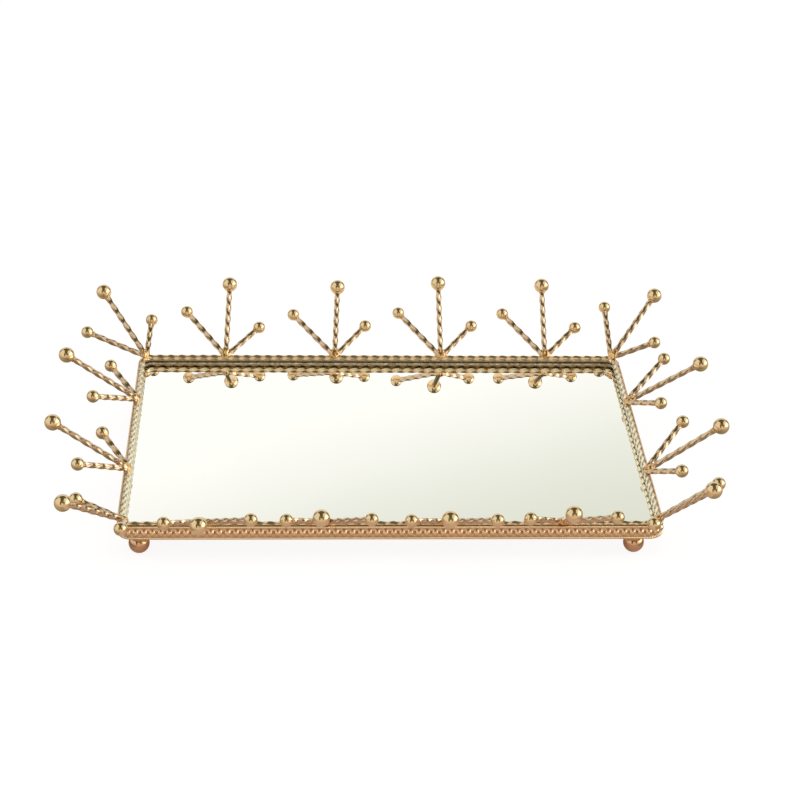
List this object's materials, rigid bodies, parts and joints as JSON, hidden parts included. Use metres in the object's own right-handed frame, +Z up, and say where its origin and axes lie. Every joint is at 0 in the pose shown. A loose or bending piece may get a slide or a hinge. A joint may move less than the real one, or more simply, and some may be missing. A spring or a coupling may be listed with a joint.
{
  "type": "dresser vanity tray",
  "caption": "Gold rectangular mirror tray for perfume bottles, in a beaded strip with a twisted wire rim, sprays of ball-tipped wire leaning out all round, on ball feet.",
  "frame": {"origin": "on the surface that the tray stands on, under the middle of the tray", "axes": "+X along the tray's long sides to its right end, +Y from the front to the back, +Z up"},
  "size_m": [0.4168, 0.308, 0.0676],
  "materials": {
    "gold": "polished gold plating over iron",
    "pale_gold": "polished pale gold plating over twisted iron wire",
    "rose_gold": "polished rose gold plating over the stamped strip and the feet",
    "silvered_glass": "float glass silvered on its back",
    "black_felt": "thin pressed felt"
  },
  "bodies": {
    "root": {"base_plate": "gold", "cushion_sheet": "black_felt", "mirror_glass": "silvered_glass", "gallery_strip": "rose_gold", "rim_wire_front": "pale_gold", "rim_wire_right": "pale_gold", "rim_wire_back": "pale_gold", "rim_wire_left": "pale_gold", "foot_front_left": "rose_gold", "foot_front_right": "rose_gold", "foot_back_left": "rose_gold", "foot_back_right": "rose_gold", "spray_back_1_middle": "gold", "spray_back_1_left": "gold", "spray_back_1_right": "gold", "spray_back_2_middle": "gold", "spray_back_2_left": "gold", "spray_back_2_right": "gold", "spray_back_3_middle": "gold", "spray_back_3_left": "gold", "spray_back_3_right": "gold", "spray_back_4_middle": "gold", "spray_back_4_left": "gold", "spray_back_4_right": "gold", "spray_right_1_middle": "gold", "spray_right_1_left": "gold", "spray_right_1_right": "gold", "spray_right_2_middle": "gold", "spray_right_2_left": "gold", "spray_right_2_right": "gold", "spray_front_1_middle": "gold", "spray_front_1_left": "gold", "spray_front_1_right": "gold", "spray_front_2_middle": "gold", "spray_front_2_left": "gold", "spray_front_2_right": "gold", "spray_front_3_middle": "gold", "spray_front_3_left": "gold", "spray_front_3_right": "gold", "spray_front_4_middle": "gold", "spray_front_4_left": "gold", "spray_front_4_right": "gold", "spray_left_1_middle": "gold", "spray_left_1_left": "gold", "spray_left_1_right": "gold", "spray_left_2_middle": "gold", "spray_left_2_left": "gold", "spray_left_2_right": "gold", "spray_back_left_middle": "gold", "spray_back_left_left": "gold", "spray_back_left_right": "gold", "spray_back_right_middle": "gold", "spray_back_right_left": "gold", "spray_back_right_right": "gold", "spray_front_left_middle": "gold", "spray_front_left_left": "gold", "spray_front_left_right": "gold", "spray_front_right_middle": "gold", "spray_front_right_left": "gold", "spray_front_right_right": "gold"}
  },
  "joints": []
}
